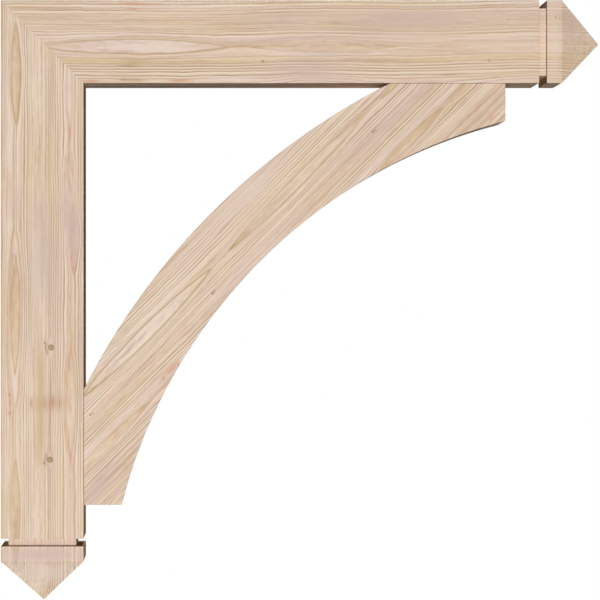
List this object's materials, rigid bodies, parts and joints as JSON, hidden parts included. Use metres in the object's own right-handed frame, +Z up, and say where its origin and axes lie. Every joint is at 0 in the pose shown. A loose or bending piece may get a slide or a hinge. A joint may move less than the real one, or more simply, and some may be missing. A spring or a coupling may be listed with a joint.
{
  "type": "timber corbel bracket",
  "caption": "Timber corbel bracket: a wall post and a level beam mitred at the corner, with grooved, pointed ends and an arched brace between them.",
  "frame": {"origin": "on the wall face of the post, at the middle of its width, level with the middle of the beam's height", "axes": "+X out from the wall along the beam, +Z up, +Y across the timbers"},
  "size_m": [1.016, 0.1397, 1.016],
  "materials": {
    "post": "planed and sanded softwood, unfinished",
    "beam": "planed and sanded softwood, unfinished",
    "brace": "band-sawn and sanded softwood, unfinished"
  },
  "bodies": {
    "root": {"post": "post", "beam": "beam", "brace": "brace"}
  },
  "joints": []
}
